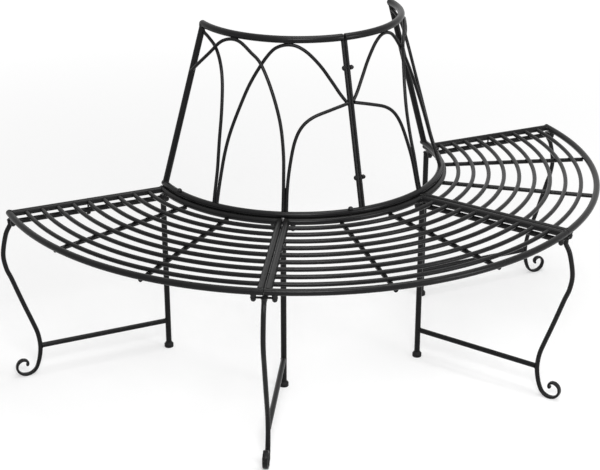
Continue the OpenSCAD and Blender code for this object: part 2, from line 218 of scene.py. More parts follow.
def smooth_line(points, steps):
    """The curve through some points, with a number of steps between each two."""
    points = [Vector(point) for point in points]
    padded = [2 * points[0] - points[1], *points, 2 * points[-1] - points[-2]]
    line = [
        curve_point(*padded[span : span + 4], step / steps)
        for span in range(len(points) - 1)
        for step in range(steps)
    ]
    return [*line, points[-1]]


def heading(line, i):
    """The direction of a line at one of its points."""
    return (line[min(i + 1, len(line) - 1)] - line[max(i - 1, 0)]).normalized()


def spokes(first, second, count, turn=0.0):
    """Directions spread evenly round a circle, from the first towards the second.

    turn moves them on by a share of the step from one to the next.
    """
    angles = [math.tau * (k + turn) / count for k in range(count)]
    return [first * math.cos(angle) + second * math.sin(angle) for angle in angles]


# Meshes


class Shape:
    """Points and faces that grow into one mesh."""

    def __init__(self):
        self.points = []
        self.faces = []

    def tube(self, rings, closed=False):
        """Skins rings of points, joined end to end or with a flat face over each end."""
        sides = len(rings[0])
        start = len(self.points)
        self.points += [point for ring in rings for point in ring]
        for i in range(len(rings) if closed else len(rings) - 1):
            here = start + i * sides
            there = start + (i + 1) % len(rings) * sides
            for k in range(sides):
                after = (k + 1) % sides
                self.faces.append((here + k, here + after, there + after, there + k))
        if not closed:
            last = start + (len(rings) - 1) * sides
            self.faces.append(tuple(start + k for k in reversed(range(sides))))
            self.faces.append(tuple(last + k for k in range(sides)))

    def lathe(self, profile, place, sides):
        """Turns a profile about the Z axis of a place.

        Each part of the profile is a radius, a height and, where the piece has flats there
        instead of a round, the number of flats, with the radius then measured to a flat.
        """
        rings = []
        for radius, height, *flats in profile:
            ring = []
            for k in range(sides):
                angle = math.tau * k / sides
                reach = radius
                if flats:
                    half = math.pi / flats[0]
                    reach = radius / math.cos(angle % (2 * half) - half)
                ring.append(place @ Vector((reach * math.cos(angle), reach * math.sin(angle), height)))
            rings.append(ring)
        self.tube(rings)

    def piece(self, name, finish, slot, replaced=()):
        """Makes the object, which rides on the bench and may stand for some CAD nodes."""
        mesh = bpy.data.meshes.new(name)
        mesh.from_pydata(self.points, [], self.faces)
        skin = bmesh.new()
        skin.from_mesh(mesh)
        bmesh.ops.recalc_face_normals(skin, faces=skin.faces)
        skin.to_mesh(mesh)
        skin.free()
        mesh.shade_smooth()
        mesh.set_sharp_from_angle(angle=SHARP_ANGLE)
        mesh.materials.append(finish_of(finish))
        piece = bpy.data.objects.new(name, mesh)
        bpy.context.scene.collection.objects.link(piece)
        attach(piece, BODY)
        if replaced:
            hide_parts(*replaced)


# Finishes


class Field:
    """A value in a node tree. An expression on fields adds the Math nodes that it needs."""

    def __init__(self, recipe, socket):
        self.recipe = recipe
        self.socket = socket

    def math(self, operation, first, second):
        """A Math node on two values or fields."""
        return self.recipe.node("ShaderNodeMath", {"operation": operation}, {0: first, 1: second})

    def __add__(self, other):
        return self.math("ADD", self, other)

    __radd__ = __add__

    def __sub__(self, other):
        return self.math("SUBTRACT", self, other)

    def __rsub__(self, other):
        return self.math("SUBTRACT", other, self)

    def __mul__(self, other):
        return self.math("MULTIPLY", self, other)

    __rmul__ = __mul__

    def __pow__(self, other):
        return self.math("POWER", self, other)

    def __rpow__(self, other):
        return self.math("POWER", other, self)

    def above(self, floor):
        """The larger of this field and a value or field."""
        return self.math("MAXIMUM", self, floor)

    def within(self, least, most):
        """This field, held between two values."""
        return self.recipe.node("ShaderNodeClamp", None, {"Value": self, "Min": least, "Max": most})


class Recipe:
    """A node tree that is written as expressions."""

    def __init__(self, tree):
        self.tree = tree
        tree.nodes.clear()

    def node(self, kind, settings=None, inputs=None, output=0):
        """Adds a node: first its settings, then the values or links of its sockets."""
        node = self.tree.nodes.new(kind)
        for key, value in (settings or {}).items():
            setattr(node, key, value)
        for key, value in (inputs or {}).items():
            socket = self.find(node.inputs, key)
            if isinstance(value, Field):
                self.tree.links.new(value.socket, socket)
            else:
                socket.default_value = value
        return None if output is None else Field(self, self.find(node.outputs, output))

    def find(self, sockets, key):
        """A socket by its number, its name or, where names repeat, its identifier."""
        if isinstance(key, int):
            return sockets[key]
        return next(socket for socket in sockets if key in (socket.identifier, socket.name))

    def noise(self, place, scale, detail):
        """Noise from 0 to 1 whose features are about one over scale metres wide."""
        inputs = {"Vector": place, "Scale": scale, "Detail": detail}
        return self.node("ShaderNodeTexNoise", None, inputs, "Fac")

    def blend(self, share, first, second):
        """A colour between two colours."""
        settings = {"data_type": "RGBA", "clamp_factor": True}
        inputs = {"Factor_Float": share, "A_Color": first, "B_Color": second}
        return self.node("ShaderNodeMix", settings, inputs, "Result_Color")

    def seen(self):
        """1 for what the camera sees, directly, in a reflection or through glass."""
        rays = [
            self.node("ShaderNodeLightPath", output=name)
            for name in ("Is Camera Ray", "Is Glossy Ray", "Is Transmission Ray")
        ]
        return rays[0].above(rays[1]).above(rays[2])


# A finish takes its colour and its roughness, less what is said to be smoother, from one of the
# looks. Lift is how much lighter its pale patches are, and peel and grain are the depths of its
# broad ripple and of its fine specks. Metal is how metallic it is, and the dust and sheen share is how
# much lighter what faces up is made, partly as dust lying on it and partly as a painted sheen.
FINISHES = {
    "powder_coat": {"look": "paint", "lift": 1.5, "peel": 18e-6, "grain": 4e-6, "dust_and_sheen": 0.06},
    "forged_coat": {"look": "paint", "lift": 1.7, "peel": 40e-6, "grain": 6e-6, "dust_and_sheen": 0.06},
    "weld_coat": {
        "look": "paint",
        "smoother": 0.04,
        "lift": 1.6,
        "peel": 25e-6,
        "grain": 5e-6,
        "dust_and_sheen": 0.05,
    },
    "coated_steel": {
        "look": "hardware",
        "lift": 1.4,
        "peel": 6e-6,
        "grain": 2e-6,
        "dust_and_sheen": 0.06,
        "metal": 0.25,
    },
    "moulded_plastic": {"look": "foot", "lift": 1.3, "peel": 4e-6, "grain": 12e-6, "dust_and_sheen": 0.15},
}
# Features per metre and levels of detail of the patches, the ripple and the specks
PATCHES = (22, 3)
RIPPLE = (240, 1)
SPECKS = (900, 2)
# How far the roughness swings from patch to patch
ROUGHNESS_SWING = 0.1
# Specular level of all the coats, which are duller than bare gloss
SPECULAR = 0.13
# Dust and a painted sheen lighten what faces up. Both thin out by this power as a surface tilts, and the
# dust is rougher than the coat under it
DUST_AND_SHEEN_COLOR = (0.16, 0.155, 0.145)
DUST_AND_SHEEN_POWER = 3
DUST_ROUGHNESS = 0.5


def rgba(color, lift=1.0):
    """A colour with its alpha, made lighter by a factor."""
    return (*(channel * lift for channel in color), 1.0)


def coating(name, look, lift, peel, grain, dust_and_sheen, smoother=0.0, metal=0.0):
    """A dark finish that varies a little in tone and gloss over an orange-peel surface."""
    looks = bpy.context.scene.tree_bench.looks
    color = getattr(looks, look)
    roughness = getattr(looks, f"{look}_roughness") - smoother
    material = bpy.data.materials.new(name)
    material.use_nodes = True
    recipe = Recipe(material.node_tree)
    place = recipe.node("ShaderNodeTexCoord", output="Object")
    patches = recipe.noise(place, *PATCHES)
    height = recipe.noise(place, *RIPPLE) * peel + recipe.noise(place, *SPECKS) * grain
    bump = recipe.node("ShaderNodeBump", None, {"Height": height, "Distance": 1.0, "Strength": 1.0})
    normal = recipe.node("ShaderNodeNewGeometry", output="Normal")
    up = recipe.node("ShaderNodeSeparateXYZ", None, {"Vector": normal}, "Z")
    # Painted sheen and dust: what faces up is made lighter, partly as dust lying there and partly as a
    # painted sheen where the light from above falls
    dust_and_sheen_mask = up.above(0) ** DUST_AND_SHEEN_POWER * patches * dust_and_sheen
    tone = recipe.blend(patches, rgba(color), rgba(color, lift))
    swing = patches * ROUGHNESS_SWING + dust_and_sheen_mask * DUST_ROUGHNESS
    inputs = {
        "Base Color": recipe.blend(dust_and_sheen_mask, tone, rgba(DUST_AND_SHEEN_COLOR)),
        "Roughness": roughness - ROUGHNESS_SWING / 2 + swing,
        "Metallic": metal,
        "Specular IOR Level": SPECULAR,
        "Normal": bump,
    }
    surface = recipe.node("ShaderNodeBsdfPrincipled", None, inputs)
    recipe.node("ShaderNodeOutputMaterial", None, {"Surface": surface}, None)
    return material


def finish_of(name):
    """The finish of that name, which is made when it is first asked for."""
    return bpy.data.materials.get(name) or coating(name, **FINISHES[name])


# Settings that a user would change


class LookSettings(PropertyGroup):
    """Colours and gloss."""

    paint: FloatVectorProperty(
        name="Paint",
        description="Colour of the powder coat",
        subtype="COLOR",
        default=(0.0055, 0.0055, 0.0058),
    )
    paint_roughness: FloatProperty(
        name="Paint roughness",
        description="How matt the powder coat is",
        subtype="FACTOR",
        default=0.28,
    )
    hardware: FloatVectorProperty(
        name="Bolts",
        description="Colour of bolts, nuts and bosses",
        subtype="COLOR",
        default=(0.014, 0.014, 0.0145),
    )
    hardware_roughness: FloatProperty(
        name="Bolt roughness", description="How matt the bolts are", subtype="FACTOR", default=0.34
    )
    foot: FloatVectorProperty(
        name="Foot caps",
        description="Colour of the foot caps",
        subtype="COLOR",
        default=(0.009, 0.009, 0.0095),
    )
    foot_roughness: FloatProperty(
        name="Foot roughness", description="How matt the foot caps are", subtype="FACTOR", default=0.55
    )
    seam: FloatProperty(
        name="Seam",
        description="Radius of the paint that closes a crevice",
        unit="LENGTH",
        default=0.8 * MM,
    )


class ForgeSettings(PropertyGroup):
    """The hammered scroll legs."""

    bar: FloatProperty(
        name="Bar",
        description="Diameter of the scroll leg's bar at its top",
        unit="LENGTH",
        default=12 * MM,
    )
    tip: FloatProperty(
        name="Tip",
        description="Thickness of the bar where it is hammered flat",
        unit="LENGTH",
        default=7 * MM,
    )
    dent_size: FloatProperty(
        name="Dent size", description="Width of a hammer mark", unit="LENGTH", default=11 * MM
    )
    dent_depth: FloatProperty(
        name="Dent depth", description="Depth of a hammer mark", unit="LENGTH", default=0.55 * MM
    )


class WeldSettings(PropertyGroup):
    """The weld beads."""

    share: FloatProperty(
        name="Bead",
        description="Radius of a bead, as a share of the bar's radius",
        subtype="FACTOR",
        default=0.22,
    )
    least: FloatProperty(
        name="Least bead", description="Radius of the thinnest bead", unit="LENGTH", default=0.9 * MM
    )
    most: FloatProperty(
        name="Most bead", description="Radius of the thickest bead", unit="LENGTH", default=1.6 * MM
    )
    ripple: FloatProperty(
        name="Ripple", description="Length of one ripple along a bead", unit="LENGTH", default=3 * MM
    )
    ripple_depth: FloatProperty(
        name="Ripple depth",
        description="Depth of a ripple, as a share of the bead",
        subtype="FACTOR",
        default=0.24,
    )


class BoltSettings(PropertyGroup):
    """The bolts and their sockets."""

    socket: FloatProperty(
        name="Socket",
        description="Width of the hexagon socket, as a share of the head",
        subtype="FACTOR",
        default=0.4,
    )
    socket_depth: FloatProperty(
        name="Socket depth",
        description="Depth of the socket, as a share of the head",
        subtype="FACTOR",
        default=0.42,
    )
    thread: FloatProperty(name="Thread", description="Pitch of the thread", unit="LENGTH", default=1 * MM)


class StageSettings(PropertyGroup):
    """Floor, light and sky."""

    floor: FloatProperty(name="Floor", description="How pale the floor is", subtype="FACTOR", default=0.62)
    lamps: FloatProperty(
        name="Lamps", description="Power of all lamps together", unit="POWER", default=130.0
    )
    fill: FloatProperty(
        name="Fill",
        description="Strength of the even light from all round",
        subtype="FACTOR",
        default=0.35,
    )


class BenchSettings(PropertyGroup):
    """All the settings of the bench."""

    looks: PointerProperty(type=LookSettings, name="Looks", description="Colours and gloss")
    forge: PointerProperty(type=ForgeSettings, name="Scroll legs", description="The hammered legs")
    welds: PointerProperty(type=WeldSettings, name="Welds", description="The weld beads")
    bolts: PointerProperty(type=BoltSettings, name="Bolts", description="The bolts and sockets")
    stage: PointerProperty(type=StageSettings, name="Stage", description="Floor, light and sky")


# Scroll legs


# The leg's line from under the seat to the ground: distance out from the outer rail in
# millimetres, and share of the leg's height
LEG_LINE = (
    (2, 1),
    (2, 0.985),
    (2.5, 0.97),
    (15, 0.915),
    (25.5, 0.8),
    (21, 0.71),
    (10, 0.64),
    (-6, 0.53),
    (-21, 0.43),
    (-35, 0.34),
    (-46, 0.26),
    (-50, 0.18),
    (-47, 0.115),
)
LEG_STEPS = 12
LEG_SIDES = 24
# The curl that the leg ends in, a spiral that closes in: how far its middle lies in from the outer
# rail and its radius at either end, in millimetres, and its first angle and its turn in degrees
CURL_IN = 6
CURL_START = 34
CURL_END = 6
CURL_FROM = 190
CURL_TURN = 360
CURL_STEPS = 12
# Steps in degrees in which the lowest point of the curl is looked for
CURL_SEARCH = 5
# Where the bar starts to be hammered flat and over what stretch, as shares of the leg's length
HAMMER_FROM = 0.45
HAMMER_OVER = 0.14
# How much squarer than an ellipse the hammered bar is
HAMMER_SQUARE = 0.9
# How fast a hammer mark rises to its edge, and how far apart the legs lie in the field of marks
DENT_RISE = 1.6
DENT_FIELDS = 7
# The rings that round off the leg's tip, as shares of the bar's half thickness past the line's end
TIP_RINGS = (0.5, 0.8, 0.97)


class ScrollLeg:
    """The line of a scroll leg in the XZ plane of its frame, and the bar's section along it."""

    def __init__(self, forge):
        self.bar = forge.bar / 2
        self.tip = forge.tip / 2
        self.tip_width = box_of("scroll_leg_4").half.y
        outer = ring_of("middle_outer_rail").radius
        top = box_of("cross_plates_1").low.z - SEAT_GAP
        points = [Vector((outer + out * MM, share * top)) for out, share in LEG_LINE]
        drop = max(-self.curl(degrees).y for degrees in range(0, CURL_TURN, CURL_SEARCH))
        middle = Vector((outer - CURL_IN * MM, drop + self.tip))
        points += [middle + self.curl(CURL_TURN * k / CURL_STEPS) for k in range(CURL_STEPS + 1)]
        self.line = smooth_line(points, LEG_STEPS)
        self.above_curl = (len(LEG_LINE) - 1) * LEG_STEPS

    def curl(self, degrees):
        """A point of the spiral, from its middle."""
        radius = (CURL_START - (CURL_START - CURL_END) * degrees / CURL_TURN) * MM
        angle = math.radians(CURL_FROM + degrees)
        return Vector((radius * math.cos(angle), radius * math.sin(angle)))

    def flatness(self, i):
        """How far the bar is hammered flat at a point of the line, from 0 to 1."""
        return ease((i / (len(self.line) - 1) - HAMMER_FROM) / HAMMER_OVER)

    def halves(self, i):
        """Half the thickness and half the width of the bar at a point of the line."""
        flat = self.flatness(i)
        return [self.bar + (half - self.bar) * flat for half in (self.tip, self.tip_width)]

    def inner_face(self, y, z):
        """The distance out of the leg's inner face, at a height above the curl."""
        i = next(i for i in range(self.above_curl) if self.line[i + 1].y <= z)
        start, end = self.line[i], self.line[i + 1]
        x = start.x + (end.x - start.x) * (start.y - z) / (start.y - end.y)
        thick, wide = self.halves(i)
        return None if abs(y) > wide else x - thick * math.sqrt(1 - (y / wide) ** 2)

    def seat_of(self, pairs):
        """Where a level bar meets the leg. Pairs become None where the bar passes beside it."""
        found = []
        for point, out in pairs:
            x = self.inner_face(point.y, point.z)
            found.append(None if x is None else (Vector((x, point.y, point.z)), out))
        return found


def squared(wave, power):
    """A cosine or a sine raised to a power, with its sign kept."""
    return math.copysign(abs(wave) ** power, wave)


def forged_rings(leg, forge, number):
    """Rings of points round a scroll leg, with hammer marks where the bar is flattened."""
    rings = []
    last = len(leg.line) - 1
    marks = Vector((0, 0, DENT_FIELDS * number))
    for i, past in [*((i, 0) for i in range(last + 1)), *((last, past) for past in TIP_RINGS)]:
        along = heading(leg.line, i)
        thick, wide = leg.halves(i)
        middle = leg.line[i] + along * thick * past
        keep = math.sqrt(1 - past**2)
        flat = leg.flatness(i)
        power = 2 / (2 + HAMMER_SQUARE * flat)
        ring = []
        for angle in (math.tau * k / LEG_SIDES for k in range(LEG_SIDES)):
            off = keep * thick * squared(math.cos(angle), power)
            side = keep * wide * squared(math.sin(angle), power)
            point = Vector((middle.x - along.y * off, side, middle.y + along.x * off))
            nearest = noise.voronoi(point / forge.dent_size + marks)[0][0]
            dent = forge.dent_depth * flat * (1 - min(1, nearest * DENT_RISE) ** 2)
            inward = Vector((middle.x, 0, middle.y)) - point
            ring.append(point + inward.normalized() * dent)
        rings.append(ring)
    return rings


class TREE_BENCH_OT_scroll_legs(Operator):
    """Forge the four scroll legs: a round bar that is hammered flat toward its curled foot"""

    bl_idname = "tree_bench.scroll_legs"
    bl_label = "Scroll legs"

    def execute(self, context):
        forge = context.scene.tree_bench.forge
        leg = ScrollLeg(forge)
        for number in FRAME_NUMBERS:
            axes = frame_axes(number)
            shape = Shape()
            shape.tube([[axes @ point for point in ring] for ring in forged_rings(leg, forge, number)])
            shape.piece(f"forged_leg_{number}", "forged_coat", PAINT_SLOT, [f"scroll_leg_{number}"])
        return {"FINISHED"}


# Arched rods of the back


# Each rod's line: angle from the panel's free end, and share of the height from the bottom rail
# up to the underside of the top rail. Where a line ends at the middle post, it has no angle.
ROD_LINES = {
    "a": (
        (2.2, 0.73),
        (14.8, 0.88),
        (20.5, 0.955),
        (25, 0.988),
        (30, 1),
        (35, 0.988),
        (41, 0.94),
        (47, 0.877),
        (53, 0.73),
        (57.5, 0.545),
        (59.4, 0.36),
        (59.8, 0.18),
        (59.8, 0),
    ),
    "b": (
        (3.2, 0.985),
        (10, 0.965),
        (17, 0.925),
        (22.4, 0.845),
        (26, 0.73),
        (28.3, 0.56),
        (29.6, 0.375),
        (31, 0.18),
        (31.9, 0),
    ),
    "c": (
        (33.3, 0),
        (33, 0.18),
        (33.3, 0.31),
        (34.6, 0.44),
        (37.5, 0.59),
        (41.5, 0.745),
        (46.8, 0.875),
        (51.5, 0.955),
        (55.5, 0.988),
        (60.5, 1),
        (65.5, 0.988),
        (71, 0.945),
        (77, 0.865),
        (82, 0.77),
        (85.5, 0.695),
        (None, 0.64),
    ),
    "d": (
        (61.1, 0),
        (61.3, 0.14),
        (62.2, 0.28),
        (64, 0.42),
        (67, 0.51),
        (72, 0.567),
        (80, 0.605),
        (None, 0.635),
    ),
}
# The rods lie on the cone in two layers: 1 is the outer one and -1 the inner one
ROD_LAYERS = {"a": 1, "b": -1, "c": -1, "d": 1}
# A rod leaves the bottom rail's middle line for its layer over this share of its height
LAYER_RISE = 0.25
ROD_DIAMETER = 8 * MM
# The rods with their coat
COATED_ROD = 8.6 * MM
ROD_STEPS = 6
ROD_SIDES = 16


class Post:
    """A post of a back panel: its angle, how far it stands beside that angle, and its radius.

    The distance is kept as a vector along Y, as if the post stood at angle 0.
    """

    def __init__(self, degrees, aside, radius):
        self.degrees = degrees
        self.aside = ALONG * aside
        self.radius = radius


class BackCone:
    """The cone that the back's posts and rods lie on."""

    def __init__(self):
        self.top = ring_of("left_back_top_rail")
        self.base = ring_of("left_back_base_rail")
        self.rod = ROD_DIAMETER / 2
        rise = self.top.z - self.base.z
        run = self.base.radius - self.top.radius
        self.lean = math.atan2(run, rise)
        self.slope = math.hypot(run, rise)
        self.foot = self.base.bar + SEAT_GAP
        self.layer = self.rod + SEAT_GAP / 2
        self.apex = self.slope - math.sqrt((self.top.bar + self.rod + SEAT_GAP) ** 2 - self.layer**2)
        self.up = Vector((-math.sin(self.lean), 0, math.cos(self.lean)))
        self.out = Vector((math.cos(self.lean), 0, math.sin(self.lean)))
        end = box_of("left_back_end_post")
        middle = box_of("left_back_mid_post")
        self.post_reach = -middle.low.x
        self.posts = (
            Post(0, -end.middle.y, end.half.y),
            Post(PANEL_ANGLE, middle.middle.x, middle.half.x),
        )

    def height(self, share):
        """The distance up the slope to a share of the rods' height."""
        return self.foot + share * (self.apex - self.foot)

    def point(self, degrees, height, off=0.0):
        """A point by angle, distance up the slope from the bottom rail, and distance off the cone."""
        foot = Vector((self.base.radius, 0, self.base.z))
        return turned(degrees) @ (foot + self.up * height + self.out * off)

    def post_side(self, share):
        """The angle at which a rod meets the side of the middle post."""
        reach = self.base.radius - self.height(share) * math.sin(self.lean)
        return PANEL_ANGLE - math.degrees(math.asin((self.post_reach + SEAT_GAP) / reach))

    def rod_map(self, name):
        """A rod's line as smooth points of angle and share of height."""
        points = [
            (self.post_side(share) if degrees is None else degrees, share)
            for degrees, share in ROD_LINES[name]
        ]
        return smooth_line(points, ROD_STEPS)

    def off(self, name, share):
        """How far a rod's middle line lies off the cone at a share of its height."""
        return ROD_LAYERS[name] * self.layer * ease(share / LAYER_RISE)

    def rod_line(self, name):
        """A rod's middle line in the panel's own place."""
        return [
            self.point(degrees, self.height(share), self.off(name, share))
            for degrees, share in self.rod_map(name)
        ]


def round_bar(line, radius, sides):
    """Rings of points round a bar whose line lies on the back's cone."""
    rings = []
    for i, middle in enumerate(line):
        along = heading(line, i)
        out = Vector((middle.x, middle.y, 0)).normalized()
        side = along.cross(out).normalized()
        rings.append([middle + spoke * radius for spoke in spokes(side.cross(along), side, sides, 0.5)])
    return rings


class TREE_BENCH_OT_arches(Operator):
    """Bend the arched rods of both back panels"""

    bl_idname = "tree_bench.arches"
    bl_label = "Arched rods"

    def execute(self, context):
        cone = BackCone()
        for panel in PANELS:
            axes = panel_axes(panel)
            for name in ROD_LINES:
                shape = Shape()
                line = [axes @ point for point in cone.rod_line(name)]
                shape.tube(round_bar(line, COATED_ROD / 2, ROD_SIDES))
                shape.piece(f"{panel}_arch_{name}", "powder_coat", PAINT_SLOT, [f"{panel}_back_rod_{name}"])
        return {"FINISHED"}


# Top rails of the back


RAIL_STEPS = 48
RAIL_SIDES = 28
# How much a top rail's ends are rounded, and in how many steps
RAIL_EDGE = 3.5 * MM
RAIL_EDGE_STEPS = 6
# What a top rail stops short of the middle of the back
RAIL_SHORT = 1 * MM


def rail_rings(rail):
    """Rings of points along a top rail, drawn in and down to a smaller face at both ends."""
    length = math.radians(PANEL_ANGLE) * rail.radius - RAIL_SHORT
    edge = [math.radians(90) * step / RAIL_EDGE_STEPS for step in range(RAIL_EDGE_STEPS + 1)]
    stops = [(RAIL_EDGE * (1 - math.cos(turn)), RAIL_EDGE * (1 - math.sin(turn))) for turn in edge]
    straight = length - 2 * RAIL_EDGE
    places = [
        *stops,
        *((RAIL_EDGE + straight * step / RAIL_STEPS, 0) for step in range(1, RAIL_STEPS)),
        *((length - run, drawn) for run, drawn in reversed(stops)),
    ]
    rings = []
    for run, drawn in places:
        out = turned(math.degrees(run / rail.radius)) @ OUTWARD
        middle = out * rail.radius + UP * (rail.z - drawn)
        rings.append([middle + spoke * (rail.bar - drawn) for spoke in spokes(out, UP, RAIL_SIDES, 0.5)])
    return rings


class TREE_BENCH_OT_top_rails(Operator):
    """Bend the back's top rails, with rounded ends that leave a notch where the panels meet"""

    bl_idname = "tree_bench.top_rails"
    bl_label = "Top rails"

    def execute(self, context):
        for panel in PANELS:
            node = f"{panel}_back_top_rail"
            axes = panel_axes(panel)
            shape = Shape()
            shape.tube([[axes @ point for point in ring] for ring in rail_rings(ring_of(node))])
            shape.piece(f"{panel}_rounded_top_rail", "powder_coat", PAINT_SLOT, [node])
        return {"FINISHED"}


# Bars, plates and bosses that keep the frame's own meshes


KEPT_PAINT = (
    *(
        f"{section}_{bar}"
        for section in SECTIONS
        for bar in ("outer_rail", "inner_rail", "end_bars", "cross_bars", "slats")
    ),
    *(
        f"{bar}_{number}"
        for bar in ("straight_leg", "stretcher", "top_bar", "cross_plates")
        for number in FRAME_NUMBERS
    ),
    *(f"{panel}_back_{bar}" for panel in PANELS for bar in ("end_post", "mid_post", "base_rail")),
)


class TREE_BENCH_OT_bars(Operator):
    """Coat the rails, slats, bars, legs, plates and bosses"""

    bl_idname = "tree_bench.bars"
    bl_label = "Bars and plates"

    def execute(self, context):
        finishes = {node: "powder_coat" for node in KEPT_PAINT} | {"bosses": "coated_steel"}
        for node, finish in finishes.items():
            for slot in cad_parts[node].material_slots:
                slot.material = finish_of(finish)
        return {"FINISHED"}


SEAM_STEPS = 60
SEAM_SIDES = 8
# The share of a section that its seam leaves free at either end, because the sections come apart
SEAM_SHORT = 0.01


class TREE_BENCH_OT_seams(Operator):
    """Close the crevices between bars that are bolted side by side with paint"""

    bl_idname = "tree_bench.seams"
    bl_label = "Seams"

    def execute(self, context):
        base = ring_of("left_back_base_rail")
        for index, section in enumerate(SECTIONS):
            rail = ring_of(f"{section}_inner_rail")
            away = Vector((base.radius - rail.radius, 0, base.z - rail.z)).normalized()
            touch = Vector((rail.radius, 0, rail.z)) + away * (rail.bar + SEAT_GAP / 2)
            line = []
            for step in range(SEAM_STEPS + 1):
                share = SEAM_SHORT + (1 - 2 * SEAM_SHORT) * step / SEAM_STEPS
                line.append(turned(FIRST_ANGLE + SECTION_ANGLE * (index + share)) @ touch)
            self.seam(context, f"{section}_seam", line)
        cone = BackCone()
        heights = (cone.foot, cone.slope - cone.top.bar - SEAT_GAP)
        line = [turned(FIRST_ANGLE) @ cone.point(PANEL_ANGLE, height) for height in heights]
        self.seam(context, "post_seam", line)
        return {"FINISHED"}

    def seam(self, context, name, line):
        """A thin bar of paint along a line."""
        shape = Shape()
        shape.tube(round_bar(line, context.scene.tree_bench.looks.seam, SEAM_SIDES))
        shape.piece(name, "powder_coat", PAINT_SLOT)


# Bolts and nuts


BOLT_SIDES = 24
HEXAGON = 6
DOME_STEPS = 7
# Shank radius of the bolts that go up through the cross plates, and of all the other bolts
LEG_SHANK = 4 * MM
SHANK = 2.5 * MM
THREAD_DEPTH = 0.3 * MM
HEAD_BEVEL = 0.3 * MM
# Most that a domed head rises above its upright rim, as shares of its height and its radius
RISE_OF_HEIGHT = 2 / 3
RISE_OF_RADIUS = 0.9
# How far the dome stops outside the socket, as a factor on the socket
SOCKET_RIM = 1.25
NUT_BEVEL = 0.5 * MM
# Height of a cap nut's flats, as a share of the nut
NUT_FLATS = 0.58


def dome(radius, rim, height, inner):
    """Profile of a dome from its rim up to an inner radius."""
    rise = height - rim
    curve = (radius**2 + rise**2) / (2 * rise)
    profile = []
    for step in range(DOME_STEPS + 1):
        reach = radius + (inner - radius) * step / DOME_STEPS
        profile.append((reach, rim + math.sqrt(curve**2 - reach**2) - curve + rise))
    return profile


def bolt_profile(radius, height, shank, length, settings):
    """Profile of a bolt from the end of its shank to the bottom of its socket, seated at 0."""
    pitch = settings.thread
    thread = []
    for turn in range(int(length / pitch) - 1):
        z = -length + pitch * (turn + 0.5)
        thread += [(shank, z), (shank - THREAD_DEPTH, z + pitch / 2)]
    flat = radius * settings.socket
    rise = min(height * RISE_OF_HEIGHT, radius * RISE_OF_RADIUS)
    top = dome(radius, height - rise, height, flat * SOCKET_RIM)
    return [
        (shank - 2 * THREAD_DEPTH, -length),
        *thread,
        (shank, -pitch / 2),
        (shank, 0),
        (radius - HEAD_BEVEL, 0),
        (radius, HEAD_BEVEL),
        *top,
        (flat, top[-1][1] - HEAD_BEVEL, HEXAGON),
        (flat, height * (1 - settings.socket_depth), HEXAGON),
    ]


def domed_bolts(kind, seat, axis, shank, settings):
    """Bolts of one kind, with their heads towards the axis and seated at a distance along it."""
    shape = Shape()
    for box in boxes_of(f"{kind}_bolts"):
        spot = box.middle - axis * axis.dot(box.middle) + axis * seat
        ends = sorted((axis.dot(box.low) - seat, axis.dot(box.high) - seat))
        radius = max(half for half, run in zip(box.half, axis) if run == 0)
        profile = bolt_profile(radius, ends[1], shank, -ends[0], settings)
        shape.lathe(profile, Matrix.Translation(spot) @ facing(axis), BOLT_SIDES)
    shape.piece(f"domed_{kind}_bolts", "coated_steel", HARDWARE_SLOT, [f"{kind}_bolts"])


def acorn_nuts(seat):
    """Cap nuts on the middle posts: flats with bevelled corners under a dome."""
    shape = Shape()
    for box in boxes_of("cap_nuts"):
        height = box.high.x - seat
        flat = box.half.y
        collar = height * NUT_FLATS
        profile = [
            (flat - NUT_BEVEL, 0),
            (flat, NUT_BEVEL, HEXAGON),
            (flat, collar - NUT_BEVEL, HEXAGON),
            (flat - NUT_BEVEL / 2, collar),
            *dome(flat - NUT_BEVEL, collar + NUT_BEVEL, height, NUT_BEVEL),
        ]
        place = Matrix.Translation((seat, box.middle.y, box.middle.z)) @ facing(OUTWARD)
        shape.lathe(profile, place, BOLT_SIDES)
    shape.piece("acorn_nuts", "coated_steel", HARDWARE_SLOT, ["cap_nuts"])


class TREE_BENCH_OT_bolts(Operator):
    """Make the domed bolts with their sockets and threads, and the cap nuts"""

    bl_idname = "tree_bench.bolts"
    bl_label = "Bolts and nuts"

    def execute(self, context):
        settings = context.scene.tree_bench.bolts
        post_side = BackCone().post_reach
        domed_bolts("leg", -box_of("cross_plates_1").low.z, -UP, LEG_SHANK, settings)
        domed_bolts("end", -box_of("top_bar_1").low.z, -UP, SHANK, settings)
        domed_bolts("rail", box_of("left_back_base_rail").high.z, UP, SHANK, settings)
        domed_bolts("post", post_side, -OUTWARD, SHANK, settings)
        acorn_nuts(post_side)
        return {"FINISHED"}


# Foot caps


FOOT_SIDES = 40
FOOT_BEVEL = 1.5 * MM
FOOT_LIP = 1.1 * MM
FOOT_SHOULDER = 5.5 * MM
# Angles of the rings on the bevel, and steps up the shoulder
BEVEL_TURNS = range(0, 91, 15)
SHOULDER_STEPS = 8
# How hollow the shoulder is, as the power of its rise
SHOULDER_HOLLOW = 1.25
# How the lip is rounded: its width and its drop below the top, as shares of the lip
LIP_ROUND = ((0.9, 0.15), (0.5, 0))


def foot_profile(radius, height, leg, floor):
    """Profile of a cap from its bevel over the lip and down its inside to the leg's end."""
    profile = []
    for turn in (math.radians(degrees) for degrees in BEVEL_TURNS):
        profile.append((radius - FOOT_BEVEL * (1 - math.sin(turn)), FOOT_BEVEL * (1 - math.cos(turn))))
    # The shoulder sweeps up in a shallow hollow from the disc to a lip round the leg
    for share in (step / SHOULDER_STEPS for step in range(SHOULDER_STEPS + 1)):
        rise = (FOOT_SHOULDER - FOOT_LIP / 2) * share**SHOULDER_HOLLOW
        profile.append((radius + (leg + FOOT_LIP - radius) * share, height - FOOT_SHOULDER + rise))
    profile += [(leg + FOOT_LIP * wide, height - FOOT_LIP * drop) for wide, drop in LIP_ROUND]
    return [*profile, (leg + SEAT_GAP, height), (leg + SEAT_GAP, floor)]


